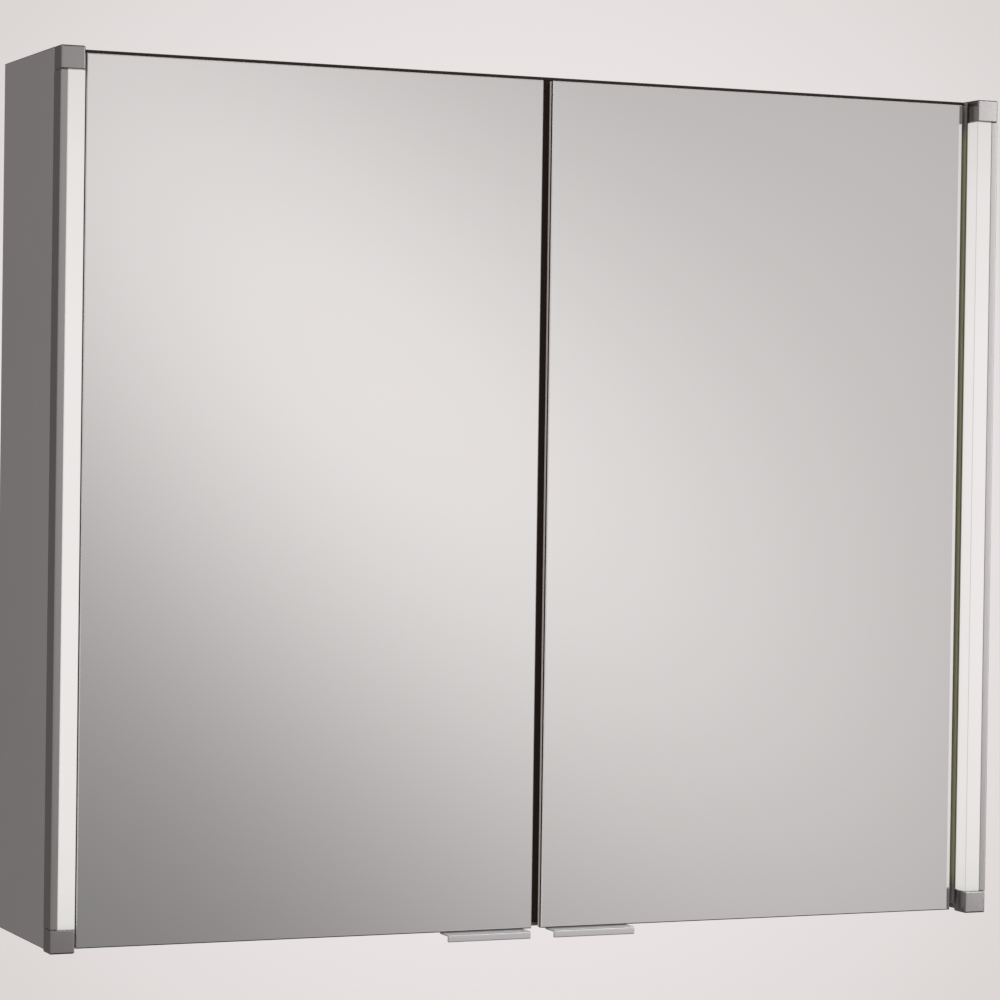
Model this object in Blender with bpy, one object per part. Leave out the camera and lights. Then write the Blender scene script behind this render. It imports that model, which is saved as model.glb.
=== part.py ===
"""Two-door mirror cabinet with a lit aluminium profile along each side.

Metres, +Z up. The wall is the plane Y = 0 and the doors face -Y. The origin is the middle
of the back. A side of -1 is the left and +1 the right, as seen from in front.
"""
import math

import bmesh
import bpy
from mathutils import Vector

LEFT, RIGHT = -1, 1
SIDE_NAMES = {LEFT: "left", RIGHT: "right"}

# Overall sizes
CABINET_WIDTH = 0.804          # over both lamps
LAMP_HEIGHT = 0.675            # over a lamp's two end caps
CABINET_DEPTH = 0.156          # wall to the front of the lamps
GAP = 0.0003                   # between pieces that touch

# Lamps
LAMP_WIDTH = 0.0192
LAMP_DEPTH = 0.018
LAMP_LIP = 0.0058              # aluminium shown beside the diffuser
LAMP_WALL = 0.0016
CAP_HEIGHT = 0.018
CAP_ROUNDING = 0.0004
DIFFUSER_WALL = 0.002
LED_BOARD_WIDTH = 0.010
LED_BOARD_THICKNESS = 0.0012

# Carcass
CARCASS_BOTTOM_RISE = 0.0019   # lamp bottom to carcass bottom
CHANNEL_WALL = 0.0016
LINER_THICKNESS = 0.0018
PANEL_THICKNESS = 0.003        # top and bottom panels
BACK_THICKNESS = 0.002
PARTITION_THICKNESS = 0.016
SEAL_DEPTH = 0.0027
CENTRE_SEAL_WIDTH = 0.012
BACK_MIRROR_THICKNESS = 0.003
BACK_MIRROR_MARGIN = 0.001

# Doors
DOOR_SETBACK = 0.0154          # lamp front to mirror face
DOOR_TOP_CLEARANCE = 0.0005    # under the top panel
DOOR_BOTTOM_RISE = 0.0013      # lamp bottom to door bottom
DOOR_SIDE_GAP = 0.0055         # lamp to door
DOOR_CENTRE_GAP = 0.0082       # door to door
FRONT_GLASS = 0.0037
REAR_GLASS = 0.003

# Handles: a tab under the door with a lip turned down at its front
HANDLE_LENGTH = 0.0705
HANDLE_INSET = 0.0059          # from the door's free edge
HANDLE_REACH = 0.0122          # in front of the mirror face
HANDLE_WALL = 0.0016
HANDLE_LIP = 0.0060
HANDLE_ROUNDING = 0.0012
HANDLE_FLANGE = 0.009          # height of the flange behind the front glass
HANDLE_NOTCH_CLEARANCE = 0.0005

# Hinges
HINGE_INSET = 0.016            # door edge to pin axis
HINGE_END_DISTANCE = 0.090     # door end to hinge middle
LEAF_THICKNESS = 0.001
LEAF_CLEARANCE = 0.0004        # leaf to the arm's knuckle
LEAF_OUTER_REACH = 0.012
LEAF_INNER_REACH = 0.022
LEAF_HEIGHT = 0.036
KNUCKLE_RADIUS = 0.0029
KNUCKLE_HEIGHT = 0.014
KNUCKLE_END_CLEARANCE = 0.0004
PIN_RADIUS = 0.0015
PIN_HEAD_RADIUS = 0.0026
PIN_HEAD_HEIGHT = 0.0012
ARM_THICKNESS = 0.0024
ARM_PLATE_LENGTH = 0.045
SWEEP_CLEARANCE = 0.0005       # to what the swinging door edge passes
NOTCH_PAST_AXIS = 0.003

# Shelves
SHELVES_PER_BAY = 2
SHELF_THICKNESS = 0.005
SHELF_SETBACK = 0.0025         # behind the door edge's sweep
SHELF_REAR_CLEARANCE = 0.003
SHELF_END_CLEARANCE = 0.0007
RAIL_WIDTH = 0.010
RAIL_HEIGHT = 0.006
RAIL_END_SETBACK = 0.004       # from the shelf's front and rear edges

# Wall hangers
BRACKET_WIDTH = 0.060
BRACKET_HEIGHT = 0.036
BRACKET_DEPTH = 0.012
BRACKET_SIDE_DISTANCE = 0.008
HOOK_SLOT_WIDTH = 0.026
HOOK_SLOT_HEIGHT = 0.014
BACK_WINDOW_MARGIN = 0.005     # window in the back panel round the hook slot

# Electrics
SERVICE_BOX_WIDTH = 0.064
SERVICE_BOX_DEPTH = 0.094
SERVICE_BOX_HEIGHT = 0.120
SERVICE_BOX_WALL = 0.002
SOCKET_HEIGHT = 0.034          # socket centre above the box's foot
SOCKET_BODY_RADIUS = 0.022
SOCKET_BODY_DEPTH = 0.030
SOCKET_FLANGE_RADIUS = 0.025
SOCKET_FLANGE_THICKNESS = 0.002
SOCKET_RECESS_RADIUS = 0.0195
SOCKET_RECESS_DEPTH = 0.014
SOCKET_PIN_RADIUS = 0.0025
SOCKET_PIN_DEPTH = 0.010
SOCKET_PIN_SPACING = 0.019
SWITCH_HEIGHT = 0.090          # switch centre above the box's foot
ROCKER_WIDTH = 0.022
ROCKER_HEIGHT = 0.030
ROCKER_CLEARANCE = 0.0005
ROCKER_PIVOT_DEPTH = 0.003     # behind the box's front face
ROCKER_PROUD = 0.003           # ends of the rocker in front of the box's face
ROCKER_DISH = 0.0015           # how far the middle lies behind its ends
ROCKER_BACK_DEPTH = 0.004
ROCKER_TILT = math.radians(6)
DRIVER_SIZE = Vector((0.040, 0.030, 0.090))
GROMMET_RISE = 0.060           # above the service box's foot
GROMMET_NECK_RADIUS = 0.0052
GROMMET_COLLAR_RADIUS = 0.0065
GROMMET_COLLAR_THICKNESS = 0.002
GROMMET_BORE_RADIUS = 0.0036

# Places that follow from the sizes
TOP = LAMP_HEIGHT / 2
CARCASS_BOTTOM = -LAMP_HEIGHT / 2 + CARCASS_BOTTOM_RISE
INNER_TOP = TOP - PANEL_THICKNESS
INNER_BOTTOM = CARCASS_BOTTOM + PANEL_THICKNESS
OUTER_X = CABINET_WIDTH / 2
INNER_X = OUTER_X - LAMP_WIDTH             # inner face of a lamp and of a side wall
CHANNEL_FRONT = -CABINET_DEPTH + LAMP_DEPTH + GAP

DOOR_TOP = INNER_TOP - DOOR_TOP_CLEARANCE
DOOR_BOTTOM = -LAMP_HEIGHT / 2 + DOOR_BOTTOM_RISE
DOOR_OUTER_X = INNER_X - DOOR_SIDE_GAP
DOOR_INNER_X = DOOR_CENTRE_GAP / 2
MIRROR_FACE = -CABINET_DEPTH + DOOR_SETBACK
FRONT_GLASS_REAR = MIRROR_FACE + FRONT_GLASS
DOOR_REAR = FRONT_GLASS_REAR + GAP + REAR_GLASS
SEAL_FRONT = DOOR_REAR + GAP
CARCASS_FRONT = SEAL_FRONT + SEAL_DEPTH + GAP

HINGE_X = DOOR_OUTER_X - HINGE_INSET
HINGE_Y = DOOR_REAR + GAP + LEAF_THICKNESS + LEAF_CLEARANCE + KNUCKLE_RADIUS
SWEEP_RADIUS = math.hypot(HINGE_INSET, HINGE_Y - MIRROR_FACE) + SWEEP_CLEARANCE
SWEEP_REAR = HINGE_Y + SWEEP_RADIUS
HINGE_HEIGHTS = {
    "lower": DOOR_BOTTOM + HINGE_END_DISTANCE,
    "upper": DOOR_TOP - HINGE_END_DISTANCE,
}

BACK_FACE = -max(BACK_THICKNESS, CHANNEL_WALL) - GAP       # front of what stands on the back
BACK_MIRROR_FACE = BACK_FACE - BACK_MIRROR_THICKNESS
SHELF_FRONT = SWEEP_REAR + SHELF_SETBACK
SHELF_REAR = BACK_MIRROR_FACE - SHELF_REAR_CLEARANCE
BRACKET_TOP = INNER_TOP - GAP
BRACKET_BOTTOM = BRACKET_TOP - BRACKET_HEIGHT
BRACKET_X = INNER_X - BRACKET_SIDE_DISTANCE - BRACKET_WIDTH / 2
BRACKET_Z = (BRACKET_TOP + BRACKET_BOTTOM) / 2

BOX_OUTER_X = INNER_X - GAP - ARM_THICKNESS - GAP           # beside the lower hinge's plate
BOX_X = BOX_OUTER_X - SERVICE_BOX_WIDTH / 2
BOX_REAR = BACK_MIRROR_FACE - GAP
BOX_FRONT = BOX_REAR - SERVICE_BOX_DEPTH
BOX_FOOT = INNER_BOTTOM + GAP
GROMMET_HEIGHT = BOX_FOOT + GROMMET_RISE

ROUND_STEPS = 48               # sides of a large round piece
SMALL_ROUND_STEPS = 24         # sides of a pin or a bore
TOOL_OVERSHOOT = 0.002         # how far a cutting shape runs past the faces that it cuts


# Helpers


def clear_scene():
    for item in list(bpy.data.objects):
        bpy.data.objects.remove(item, do_unlink=True)


def make_material(name, colour, roughness, metallic=0.0):
    material = bpy.data.materials.new(name)
    material.use_nodes = True
    shader = material.node_tree.nodes["Principled BSDF"]
    shader.inputs["Base Color"].default_value = (*colour, 1.0)
    shader.inputs["Roughness"].default_value = roughness
    shader.inputs["Metallic"].default_value = metallic
    return material


def add_object(name, shape, material=None, parent=None, origin=(0.0, 0.0, 0.0)):
    """Makes an object from a bmesh in world coordinates, with its origin where it is told."""
    bmesh.ops.recalc_face_normals(shape, faces=shape.faces)
    bmesh.ops.translate(shape, verts=shape.verts, vec=-Vector(origin))
    mesh = bpy.data.meshes.new(name)
    shape.to_mesh(mesh)
    shape.free()
    item = bpy.data.objects.new(name, mesh)
    bpy.context.scene.collection.objects.link(item)
    item.location = origin
    if parent is not None:
        item.parent = parent
        item.location = Vector(origin) - parent.location
    if material is not None:
        mesh.materials.append(material)
    return item


def block(low, high):
    """A box between two corners, given in any order."""
    low, high = Vector(low), Vector(high)
    shape = bmesh.new()
    bmesh.ops.create_cube(shape, size=1.0)
    size = Vector(abs(high[k] - low[k]) for k in range(3))
    bmesh.ops.scale(shape, verts=shape.verts, vec=size)
    bmesh.ops.translate(shape, verts=shape.verts, vec=(low + high) / 2)
    return shape


def prism(outline, start, end, along):
    """A closed outline carried along one axis: (x, y) for Z, (y, z) for X and (x, z) for Y."""
    place = {
        "X": lambda a, b: Vector((start, a, b)),
        "Y": lambda a, b: Vector((a, start, b)),
        "Z": lambda a, b: Vector((a, b, start)),
    }[along]
    step = Vector((end - start if along == axis else 0.0 for axis in "XYZ"))
    shape = bmesh.new()
    face = shape.faces.new([shape.verts.new(place(a, b)) for a, b in outline])
    grown = bmesh.ops.extrude_face_region(shape, geom=[face])
    moved = [part for part in grown["geom"] if isinstance(part, bmesh.types.BMVert)]
    bmesh.ops.translate(shape, verts=moved, vec=step)
    return shape


def rod(centre, radius, start, end, along, steps=ROUND_STEPS):
    """A round bar along Y or Z; centre is (x, z) for Y and (x, y) for Z."""
    circle = arc(centre, radius, 0.0, 2 * math.pi, steps)[:-1]
    return prism(circle, start, end, along)


def arc(centre, radius, first, last, steps):
    """Points on an arc from one angle to another, both ends included."""
    angles = [first + (last - first) * k / steps for k in range(steps + 1)]
    return [(centre[0] + radius * math.cos(a), centre[1] + radius * math.sin(a)) for a in angles]


def use_tool(target, shape, operation="DIFFERENCE"):
    """Cuts a shape out of an object, or joins it on, with an EXACT Boolean."""
    count = sum(1 for item in bpy.data.objects if item.name.startswith("tool_"))
    tool = add_object(f"tool_{count:02d}", shape)
    tool.parent = target.parent
    if target.parent is not None:
        tool.location = -target.parent.location
    tool.hide_render = True
    tool.display_type = "WIRE"
    modifier = target.modifiers.new(operation.title(), "BOOLEAN")
    modifier.operation = operation
    modifier.object = tool


def round_edges(item, width, segments=2):
    modifier = item.modifiers.new("Rounding", "BEVEL")
    modifier.width = width
    modifier.segments = segments


def shade_round(item):
    item.data.shade_smooth()
    item.data.set_sharp_from_angle(angle=math.radians(30))


# Lamps


def lamp_outline(side, points):
    """Turns (inward from the outer face, back from the lamp's front) into (x, y)."""
    return [(side * (OUTER_X - inward), -CABINET_DEPTH + back) for inward, back in points]


def make_lamp(side, finishes):
    name = SIDE_NAMES[side]
    low = -TOP + CAP_HEIGHT + GAP
    high = TOP - CAP_HEIGHT - GAP
    seat = LAMP_DEPTH - LAMP_WALL
    profile = lamp_outline(side, [
        (0, 0), (LAMP_LIP, 0), (LAMP_LIP, LAMP_WALL), (LAMP_WALL, LAMP_WALL),
        (LAMP_WALL, seat), (LAMP_WIDTH, seat), (LAMP_WIDTH, LAMP_DEPTH), (0, LAMP_DEPTH),
    ])
    add_object(f"lamp_profile_{name}", prism(profile, low, high, "Z"), finishes["aluminium"])

    inner = LAMP_WIDTH - DIFFUSER_WALL
    diffuser = lamp_outline(side, [
        (LAMP_LIP + GAP, 0), (LAMP_WIDTH, 0), (LAMP_WIDTH, seat - GAP), (inner, seat - GAP),
        (inner, DIFFUSER_WALL), (LAMP_LIP + GAP, DIFFUSER_WALL),
    ])
    add_object(f"diffuser_{name}", prism(diffuser, low, high, "Z"), finishes["opal"])

    middle = (LAMP_WALL + inner) / 2
    board_back = seat - GAP
    board_front = board_back - LED_BOARD_THICKNESS
    board = lamp_outline(side, [
        (middle - LED_BOARD_WIDTH / 2, board_front), (middle + LED_BOARD_WIDTH / 2, board_front),
        (middle + LED_BOARD_WIDTH / 2, board_back), (middle - LED_BOARD_WIDTH / 2, board_back),
    ])
    add_object(f"led_strip_{name}", prism(board, low, high, "Z"), finishes["circuit_board"])

    for end, sign in (("bottom", -1), ("top", 1)):
        cap = block((side * OUTER_X, -CABINET_DEPTH, sign * (TOP - CAP_HEIGHT)),
                    (side * INNER_X, -CABINET_DEPTH + LAMP_DEPTH, sign * TOP))
        item = add_object(f"lamp_cap_{name}_{end}", cap, finishes["aluminium"])
        round_edges(item, CAP_ROUNDING)


# Carcass


def make_side_wall(side, finishes):
    name = SIDE_NAMES[side]
    wall = CHANNEL_WALL
    outline = [
        (side * (OUTER_X - inward), y) for inward, y in (
            (0, CHANNEL_FRONT), (LAMP_WIDTH, CHANNEL_FRONT), (LAMP_WIDTH, CHANNEL_FRONT + wall),
            (wall, CHANNEL_FRONT + wall), (wall, -wall), (LAMP_WIDTH, -wall),
            (LAMP_WIDTH, 0), (0, 0),
        )
    ]
    channel = add_object(f"side_channel_{name}", prism(outline, CARCASS_BOTTOM, TOP, "Z"),
                         finishes["aluminium"])
    if side == RIGHT:
        hole = rod((side * (OUTER_X - LAMP_WIDTH / 2), GROMMET_HEIGHT),
                   GROMMET_NECK_RADIUS + GAP, -wall - TOOL_OVERSHOOT, TOOL_OVERSHOOT, "Y",
                   SMALL_ROUND_STEPS)
        use_tool(channel, hole)

    liner = block((side * (INNER_X + LINER_THICKNESS), CHANNEL_FRONT + wall + GAP,
                   INNER_BOTTOM + GAP),
                  (side * INNER_X, -wall - GAP, INNER_TOP - GAP))
    add_object(f"side_liner_{name}", liner, finishes["aluminium"])


def make_top_and_bottom(finishes):
    end = OUTER_X - CHANNEL_WALL - GAP
    ear_front = CHANNEL_FRONT + CHANNEL_WALL + GAP
    ear_x = INNER_X + GAP
    half_top = [(ear_x, CARCASS_FRONT), (ear_x, ear_front), (end, ear_front),
                (end, BACK_FACE)]
    notch_x = HINGE_X - NOTCH_PAST_AXIS
    half_bottom = [(notch_x, CARCASS_FRONT), (notch_x, SWEEP_REAR), (ear_x, SWEEP_REAR),
                   (ear_x, ear_front), (end, ear_front), (end, BACK_FACE)]
    for name, half, low, high in (("top_panel", half_top, INNER_TOP, TOP),
                                  ("bottom_panel", half_bottom, CARCASS_BOTTOM, INNER_BOTTOM)):
        other_half = [(-x, y) for x, y in reversed(half)]
        add_object(name, prism(half + other_half, low, high, "Z"), finishes["aluminium"])


def make_back_panel(finishes):
    reach = INNER_X - GAP
    panel = add_object("back_panel",
                       block((-reach, -BACK_THICKNESS, CARCASS_BOTTOM), (reach, 0, TOP)),
                       finishes["sheet"])
    half_width = HOOK_SLOT_WIDTH / 2 + BACK_WINDOW_MARGIN
    half_height = HOOK_SLOT_HEIGHT / 2 + BACK_WINDOW_MARGIN
    for side in (LEFT, RIGHT):
        x = side * BRACKET_X
        window = block((x - half_width, -BACK_THICKNESS - TOOL_OVERSHOOT, BRACKET_Z - half_height),
                       (x + half_width, TOOL_OVERSHOOT, BRACKET_Z + half_height))
        use_tool(panel, window)


def make_partition(finishes):
    half = PARTITION_THICKNESS / 2
    wall = block((-half, CARCASS_FRONT, INNER_BOTTOM + GAP), (half, BACK_FACE, INNER_TOP - GAP))
    add_object("partition", wall, finishes["aluminium"])


def make_seals(finishes):
    rear = SEAL_FRONT + SEAL_DEPTH
    half = CENTRE_SEAL_WIDTH / 2
    centre = block((-half, SEAL_FRONT, INNER_BOTTOM + GAP), (half, rear, INNER_TOP - GAP))
    add_object("centre_seal", centre, finishes["black_rubber"])
    reach = INNER_X - GAP
    top = block((-reach, SEAL_FRONT, INNER_TOP), (reach, rear, TOP - GAP))
    add_object("top_seal", top, finishes["black_rubber"])


def make_back_mirror(side, finishes):
    near = PARTITION_THICKNESS / 2 + BACK_MIRROR_MARGIN
    far = INNER_X - BACK_MIRROR_MARGIN
    glass = block((side * near, BACK_MIRROR_FACE, INNER_BOTTOM + GAP),
                  (side * far, BACK_FACE, BRACKET_BOTTOM - BACK_MIRROR_MARGIN))
    add_object(f"back_mirror_{SIDE_NAMES[side]}", glass, finishes["mirror"])


def make_hanger_bracket(side, finishes):
    x = side * BRACKET_X
    front = BACK_FACE - BRACKET_DEPTH
    body = block((x - BRACKET_WIDTH / 2, front, BRACKET_BOTTOM),
                 (x + BRACKET_WIDTH / 2, BACK_FACE, BRACKET_TOP))
    bracket = add_object(f"hanger_bracket_{SIDE_NAMES[side]}", body, finishes["steel"])
    slot = block((x - HOOK_SLOT_WIDTH / 2, front - TOOL_OVERSHOOT,
                  BRACKET_Z - HOOK_SLOT_HEIGHT / 2),
                 (x + HOOK_SLOT_WIDTH / 2, BACK_FACE + TOOL_OVERSHOOT,
                  BRACKET_Z + HOOK_SLOT_HEIGHT / 2))
    use_tool(bracket, slot)


# Shelves


def shelf_height(number):
    """Underside of a shelf; the shelves part a bay into equal spaces."""
    step = (INNER_TOP - INNER_BOTTOM) / (SHELVES_PER_BAY + 1)
    return INNER_BOTTOM + step * number


def make_shelves(side, finishes):
    name = SIDE_NAMES[side]
    inner_end = PARTITION_THICKNESS / 2
    for number in range(1, SHELVES_PER_BAY + 1):
        foot = shelf_height(number)
        glass = block((side * (inner_end + SHELF_END_CLEARANCE), SHELF_FRONT, foot),
                      (side * (INNER_X - SHELF_END_CLEARANCE), SHELF_REAR,
                       foot + SHELF_THICKNESS))
        add_object(f"shelf_{name}_{number}", glass, finishes["clear_glass"])
        for place, wall_x, inward in (("inner", inner_end, 1), ("outer", INNER_X, -1)):
            rail = block((side * (wall_x + inward * GAP), SHELF_FRONT + RAIL_END_SETBACK,
                          foot - GAP - RAIL_HEIGHT),
                         (side * (wall_x + inward * (GAP + RAIL_WIDTH)),
                          SHELF_REAR - RAIL_END_SETBACK, foot - GAP))
            add_object(f"shelf_rail_{name}_{number}_{place}", rail, finishes["aluminium"])


# Doors


def hinge_outline(side, points):
    """Turns (towards the middle, back) from the pin axis into (x, y)."""
    return [(side * (HINGE_X - inward), HINGE_Y + back) for inward, back in points]


def make_hinge_leaf(side, level, parent, finishes):
    """The plate glued to the door, with a knuckle above and one below the arm's."""
    height = HINGE_HEIGHTS[level]
    back = DOOR_REAR + GAP - HINGE_Y
    front = back + LEAF_THICKNESS
    outline = [(-LEAF_OUTER_REACH, back), (LEAF_INNER_REACH, back), (LEAF_INNER_REACH, front),
               (KNUCKLE_RADIUS, front)]
    outline += arc((0, 0), KNUCKLE_RADIUS, 0.0, math.pi, SMALL_ROUND_STEPS // 2)
    outline += [(-KNUCKLE_RADIUS, front), (-LEAF_OUTER_REACH, front)]
    leaf = add_object(f"hinge_leaf_{SIDE_NAMES[side]}_{level}",
                      prism(hinge_outline(side, outline), height - LEAF_HEIGHT / 2,
                            height + LEAF_HEIGHT / 2, "Z"),
                      finishes["nickel"], parent, parent.location)
    half = KNUCKLE_HEIGHT / 2 + KNUCKLE_END_CLEARANCE
    reach = KNUCKLE_RADIUS + TOOL_OVERSHOOT
    window = hinge_outline(side, [(-reach, front), (reach, front), (reach, reach),
                                  (-reach, reach)])
    use_tool(leaf, prism(window, height - half, height + half, "Z"))
    use_tool(leaf, rod((side * HINGE_X, HINGE_Y), PIN_RADIUS + GAP,
                       height - LEAF_HEIGHT / 2 - TOOL_OVERSHOOT,
                       height + LEAF_HEIGHT / 2 + TOOL_OVERSHOOT, "Z", SMALL_ROUND_STEPS))
    shade_round(leaf)


def make_hinge_arm(side, level, finishes):
    """The cranked arm on the side wall: it goes round the path of the door's edge."""
    height = HINGE_HEIGHTS[level]
    wall = -(DOOR_SIDE_GAP + HINGE_INSET) + GAP
    strip = KNUCKLE_RADIUS - ARM_THICKNESS
    rear = SWEEP_RADIUS + ARM_THICKNESS
    start = math.acos(strip / KNUCKLE_RADIUS)
    outline = arc((0, 0), KNUCKLE_RADIUS, start, 2 * math.pi, SMALL_ROUND_STEPS)
    outline += [(KNUCKLE_RADIUS, rear), (wall + ARM_THICKNESS, rear),
                (wall + ARM_THICKNESS, SWEEP_RADIUS + ARM_PLATE_LENGTH),
                (wall, SWEEP_RADIUS + ARM_PLATE_LENGTH), (wall, SWEEP_RADIUS),
                (strip, SWEEP_RADIUS)]
    low, high = height - KNUCKLE_HEIGHT / 2, height + KNUCKLE_HEIGHT / 2
    arm = add_object(f"hinge_arm_{SIDE_NAMES[side]}_{level}",
                     prism(hinge_outline(side, outline), low, high, "Z"), finishes["nickel"])
    use_tool(arm, rod((side * HINGE_X, HINGE_Y), PIN_RADIUS + GAP, low - TOOL_OVERSHOOT,
                      high + TOOL_OVERSHOOT, "Z", SMALL_ROUND_STEPS))
    shade_round(arm)


def make_hinge_pin(side, level, finishes):
    height = HINGE_HEIGHTS[level]
    centre = (side * HINGE_X, HINGE_Y)
    seat = height + LEAF_HEIGHT / 2 + GAP
    pin = add_object(f"hinge_pin_{SIDE_NAMES[side]}_{level}",
                     rod(centre, PIN_RADIUS, height - LEAF_HEIGHT / 2, seat + PIN_HEAD_HEIGHT / 2,
                         "Z", SMALL_ROUND_STEPS), finishes["steel"])
    use_tool(pin, rod(centre, PIN_HEAD_RADIUS, seat, seat + PIN_HEAD_HEIGHT, "Z",
                      SMALL_ROUND_STEPS), "UNION")
    shade_round(pin)


def make_handle(side, parent, finishes):
    """Flange behind the front glass, tab under it and a lip turned down in front."""
    top = DOOR_BOTTOM - GAP
    under = top - HANDLE_WALL
    flange_front = FRONT_GLASS_REAR + GAP
    flange_rear = flange_front + HANDLE_WALL
    front = MIRROR_FACE - HANDLE_REACH
    radius = HANDLE_ROUNDING
    outline = [(flange_front, DOOR_BOTTOM + HANDLE_FLANGE), (flange_front, top)]
    outline += arc((front + radius, top - radius), radius, math.pi / 2, math.pi, 6)
    outline += [(front, under - HANDLE_LIP + HANDLE_WALL), (front + HANDLE_WALL,
                under - HANDLE_LIP + HANDLE_WALL), (front + HANDLE_WALL, under),
                (flange_rear, under), (flange_rear, DOOR_BOTTOM + HANDLE_FLANGE)]
    near = DOOR_INNER_X + HANDLE_INSET
    handle = add_object(f"handle_{SIDE_NAMES[side]}",
                        prism(outline, side * near, side * (near + HANDLE_LENGTH), "X"),
                        finishes["aluminium"], parent, parent.location)
    shade_round(handle)


def make_inner_mirror(side, parent, finishes):
    """The rear glass, notched at its foot for the handle's flange."""
    near = DOOR_INNER_X + HANDLE_INSET - HANDLE_NOTCH_CLEARANCE
    far = near + HANDLE_LENGTH + 2 * HANDLE_NOTCH_CLEARANCE
    notch_top = DOOR_BOTTOM + HANDLE_FLANGE + HANDLE_NOTCH_CLEARANCE
    outline = [(DOOR_INNER_X, DOOR_BOTTOM), (near, DOOR_BOTTOM), (near, notch_top),
               (far, notch_top), (far, DOOR_BOTTOM), (DOOR_OUTER_X, DOOR_BOTTOM),
               (DOOR_OUTER_X, DOOR_TOP), (DOOR_INNER_X, DOOR_TOP)]
    placed = [(side * x, z) for x, z in outline]
    add_object(f"door_inner_mirror_{SIDE_NAMES[side]}",
               prism(placed, DOOR_REAR - REAR_GLASS, DOOR_REAR, "Y"),
               finishes["mirror"], parent, parent.location)


def make_door(side, finishes):
    axis = bpy.data.objects.new(f"door_axis_{SIDE_NAMES[side]}", None)
    axis.location = (side * HINGE_X, HINGE_Y, 0.0)
    bpy.context.scene.collection.objects.link(axis)
    glass = block((side * DOOR_INNER_X, MIRROR_FACE, DOOR_BOTTOM),
                  (side * DOOR_OUTER_X, FRONT_GLASS_REAR, DOOR_TOP))
    add_object(f"door_mirror_{SIDE_NAMES[side]}", glass, finishes["mirror"], axis, axis.location)
    make_inner_mirror(side, axis, finishes)
    make_handle(side, axis, finishes)
    for level in HINGE_HEIGHTS:
        make_hinge_leaf(side, level, axis, finishes)
        make_hinge_arm(side, level, finishes)
        make_hinge_pin(side, level, finishes)


# Electrics


def make_service_box(finishes):
    wall = SERVICE_BOX_WALL
    low = Vector((BOX_OUTER_X - SERVICE_BOX_WIDTH, BOX_FRONT, BOX_FOOT))
    high = Vector((BOX_OUTER_X, BOX_REAR, BOX_FOOT + SERVICE_BOX_HEIGHT))
    box = add_object("service_box", block(low, high), finishes["white_plastic"])
    inside = block(low + Vector((wall, wall, wall)),
                   high + Vector((TOOL_OVERSHOOT, -wall, -wall)))
    use_tool(box, inside)
    use_tool(box, rod((BOX_X, BOX_FOOT + SOCKET_HEIGHT), SOCKET_BODY_RADIUS + GAP,
                      BOX_FRONT - TOOL_OVERSHOOT, BOX_FRONT + wall + TOOL_OVERSHOOT, "Y"))
    half_width = ROCKER_WIDTH / 2 + ROCKER_CLEARANCE
    half_height = ROCKER_HEIGHT / 2 + ROCKER_CLEARANCE
    switch_z = BOX_FOOT + SWITCH_HEIGHT
    use_tool(box, block((BOX_X - half_width, BOX_FRONT - TOOL_OVERSHOOT, switch_z - half_height),
                        (BOX_X + half_width, BOX_FRONT + wall + TOOL_OVERSHOOT,
                         switch_z + half_height)))


def make_socket_insert(finishes):
    centre = (BOX_X, BOX_FOOT + SOCKET_HEIGHT)
    face = BOX_FRONT - GAP - SOCKET_FLANGE_THICKNESS
    floor = face + SOCKET_RECESS_DEPTH
    body_rear = BOX_FRONT + SOCKET_BODY_DEPTH
    insert = add_object("socket_insert",
                        rod(centre, SOCKET_BODY_RADIUS, BOX_FRONT - GAP - SOCKET_FLANGE_THICKNESS / 2,
                            body_rear, "Y"), finishes["white_plastic"])
    use_tool(insert, rod(centre, SOCKET_FLANGE_RADIUS, face, BOX_FRONT - GAP, "Y"), "UNION")
    use_tool(insert, rod(centre, SOCKET_RECESS_RADIUS, face - TOOL_OVERSHOOT, floor, "Y"))
    for sign in (-1, 1):
        pin_centre = (centre[0] + sign * SOCKET_PIN_SPACING / 2, centre[1])
        use_tool(insert, rod(pin_centre, SOCKET_PIN_RADIUS, floor - TOOL_OVERSHOOT,
                             floor + SOCKET_PIN_DEPTH, "Y", SMALL_ROUND_STEPS))
    shade_round(insert)


def make_rocker(finishes):
    """The rocker lies tilted at rest, with its upper end pressed in, and turns about X."""
    pivot = Vector((BOX_X, BOX_FRONT + ROCKER_PIVOT_DEPTH, BOX_FOOT + SWITCH_HEIGHT))
    half = ROCKER_HEIGHT / 2 - ROCKER_CLEARANCE
    end_face = -ROCKER_PIVOT_DEPTH - ROCKER_PROUD
    outline = [(end_face, -half), (end_face + ROCKER_DISH, 0.0), (end_face, half),
               (0.0, half), (ROCKER_BACK_DEPTH, half / 2), (ROCKER_BACK_DEPTH, -half / 2),
               (0.0, -half)]
    cosine, sine = math.cos(ROCKER_TILT), math.sin(ROCKER_TILT)
    tilted = [(pivot.y + y * cosine + z * sine, pivot.z - y * sine + z * cosine)
              for y, z in outline]
    add_object("rocker_switch",
               prism(tilted, BOX_X - ROCKER_WIDTH / 2, BOX_X + ROCKER_WIDTH / 2, "X"),
               finishes["white_plastic"], None, pivot)


def make_led_driver(finishes):
    inset = SERVICE_BOX_WALL + GAP
    low = Vector((BOX_X - DRIVER_SIZE.x / 2, BOX_REAR - inset - DRIVER_SIZE.y, BOX_FOOT + inset))
    add_object("led_driver", block(low, low + DRIVER_SIZE), finishes["white_plastic"])


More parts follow.
